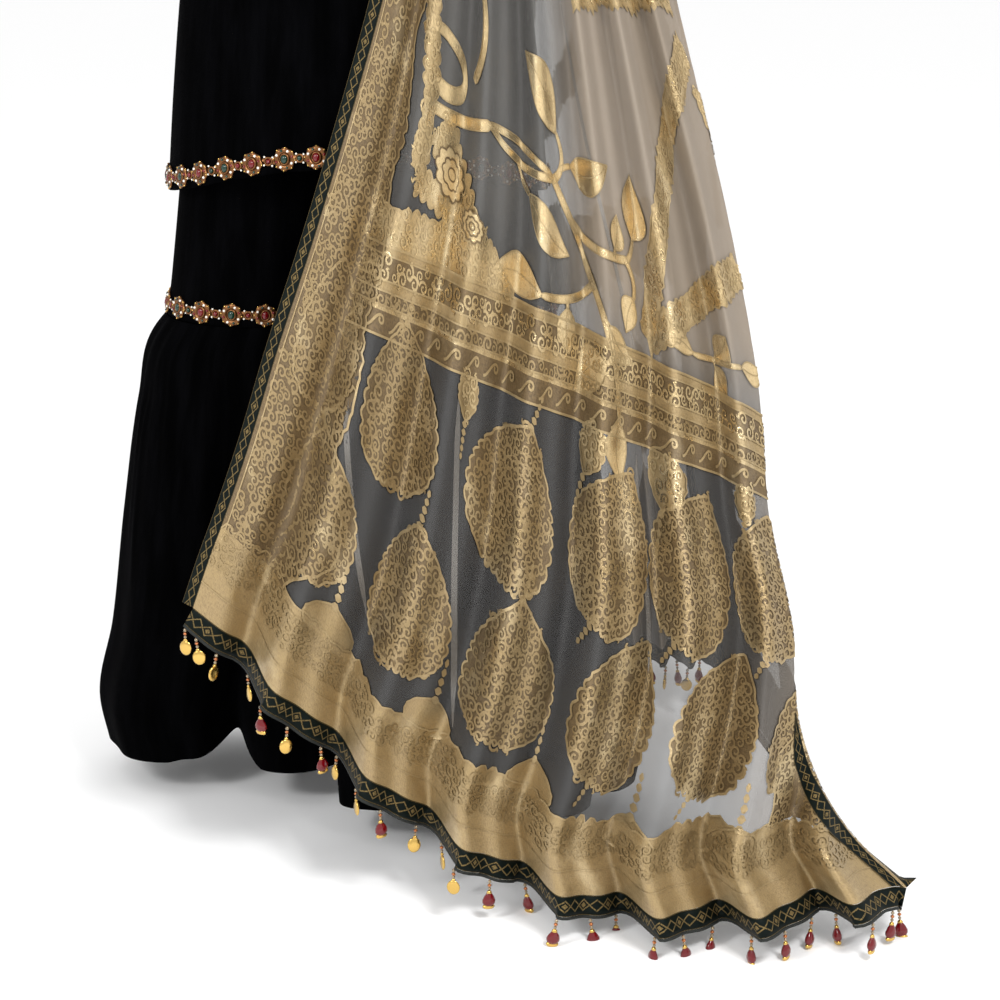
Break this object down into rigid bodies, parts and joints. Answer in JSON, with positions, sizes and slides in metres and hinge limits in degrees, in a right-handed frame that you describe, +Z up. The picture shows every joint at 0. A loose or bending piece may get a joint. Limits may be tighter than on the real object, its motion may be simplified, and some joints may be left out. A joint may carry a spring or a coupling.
{
  "type": "gharara suit, worn form",
  "caption": "Gharara suit held in its worn form: velvet kurta, gharara with two gathered flares, and a brocade net dupatta over one shoulder.",
  "frame": {"origin": "middle of the neck opening between the two shoulders, where the wearer carries the suit", "axes": "+Z up, the wearer faces -Y, +X is the wearer's left"},
  "size_m": [0.8941, 0.7403, 1.4685],
  "materials": {
    "black_velvet": "black silk velvet, soft pile",
    "brocade_net": "translucent net woven with mat and bright gold brocade",
    "jewel_lace": "copper-gold lace set with green, red and clear stones",
    "green_trim": "dark green ribbon with a gold lattice",
    "bead_drops": "polished gold pendants, some red, on small beads"
  },
  "bodies": {
    "root": {"kurta_front": "black_velvet", "kurta_back": "black_velvet", "sleeve_right": "black_velvet", "sleeve_left": "black_velvet", "right_leg_front": "black_velvet", "right_leg_back": "black_velvet", "left_leg_front": "black_velvet", "left_leg_back": "black_velvet", "gharara_waistband": "black_velvet", "right_flare": "black_velvet", "left_flare": "black_velvet", "dupatta_front_fall": "brocade_net", "dupatta_shoulder": "brocade_net", "dupatta_back_fall": "brocade_net", "hem_lace_front": "jewel_lace", "hem_lace_back": "jewel_lace", "knee_lace_right": "jewel_lace", "knee_lace_left": "jewel_lace", "trim_front_inner": "green_trim", "trim_front_outer": "green_trim", "trim_back_inner": "green_trim", "trim_back_outer": "green_trim", "trim_front_lower": "green_trim", "trim_back_lower": "green_trim", "drops_front": "bead_drops", "drops_back": "bead_drops"}
  },
  "joints": []
}
